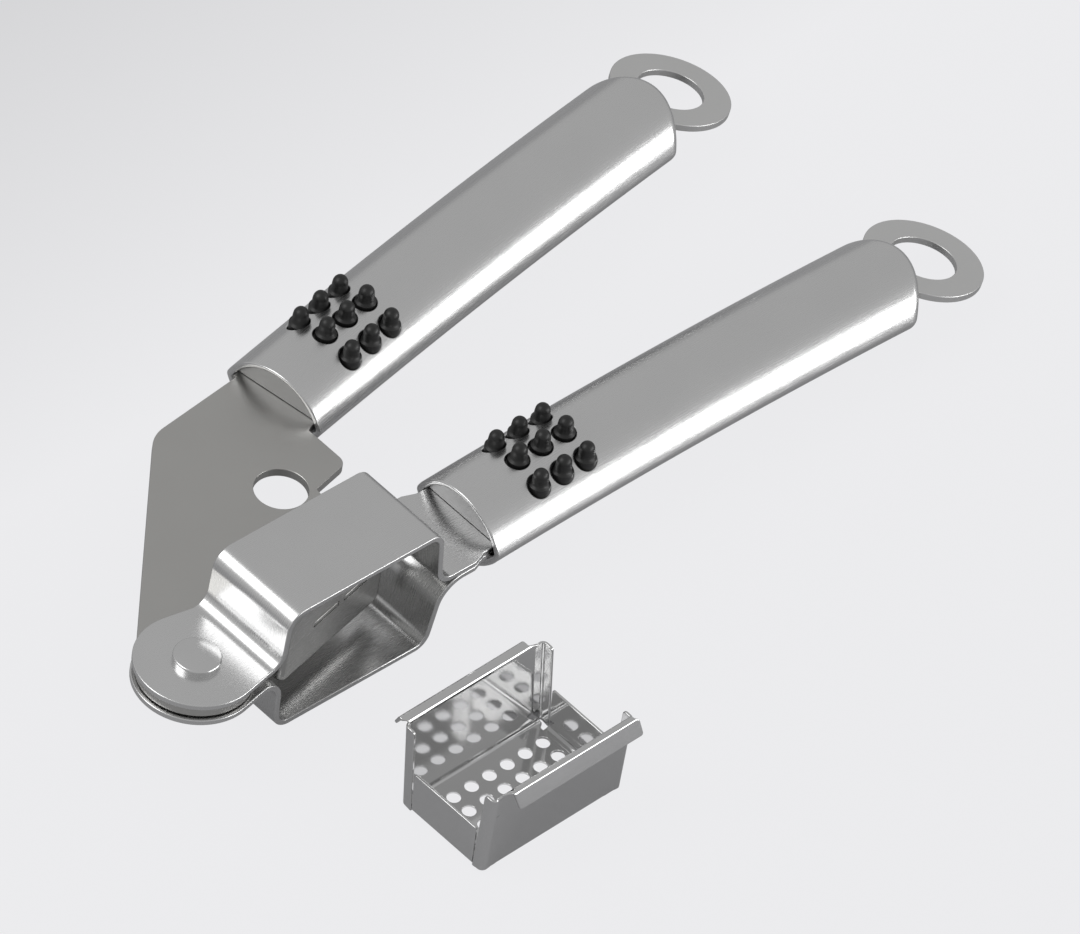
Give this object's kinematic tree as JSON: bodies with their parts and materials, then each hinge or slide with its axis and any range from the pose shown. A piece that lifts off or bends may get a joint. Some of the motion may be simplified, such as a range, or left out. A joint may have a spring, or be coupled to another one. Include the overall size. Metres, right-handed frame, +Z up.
{
  "type": "garlic press",
  "caption": "Open garlic press with a steel strap hopper, hinged plunger, oval handles with rubber nubs and hanging rings, and a lift-out sieve basket.",
  "frame": {"origin": "middle of the footprint of the whole object, on the table", "axes": "+Z up from the table, +X along the fixed handle towards its hanging ring, +Y towards the moving handle"},
  "size_m": [0.2151, 0.1421, 0.0325],
  "materials": {
    "strap_steel": "satin, bends polished",
    "plate_steel": "satin",
    "handle_steel": "fine brushed",
    "cap_steel": "satin",
    "ring_steel": "satin",
    "rivet_steel": "turned",
    "basket_steel": "polished sheet",
    "rubber": "matt black",
    "filler": "moulded"
  },
  "bodies": {
    "fixed_arm": {"hopper_upper_strap": "strap_steel", "hopper_lower_strap": "strap_steel", "pivot_rivet": "rivet_steel", "pivot_washer_upper": "rivet_steel", "pivot_washer_lower": "rivet_steel", "fixed_handle_tube": "handle_steel", "fixed_handle_front_cap": "cap_steel", "fixed_handle_rear_cap": "cap_steel", "fixed_handle_core": "filler", "fixed_handle_grip_pad": "rubber", "fixed_handle_hang_ring": "ring_steel"},
    "press_arm": {"press_plate": "plate_steel", "plunger_foot": "plate_steel", "press_handle_tube": "handle_steel", "press_handle_front_cap": "cap_steel", "press_handle_rear_cap": "cap_steel", "press_handle_core": "filler", "press_handle_grip_pad": "rubber", "press_handle_hang_ring": "ring_steel"},
    "basket": {"sieve_basket": "basket_steel"}
  },
  "joints": [
    {"name": "press_hinge", "type": "hinge", "parent": "fixed_arm", "child": "press_arm", "pos_m": [-0.09501, -0.00536, 0.01796], "axis": [0.0527, 0, 0.9986], "range_deg": [-11.8, 100]},
    {"name": "basket_lift", "type": "slide", "parent": "fixed_arm", "child": "basket", "axis": [0, 0, 1], "range_m": [0, 0.06]}
  ]
}
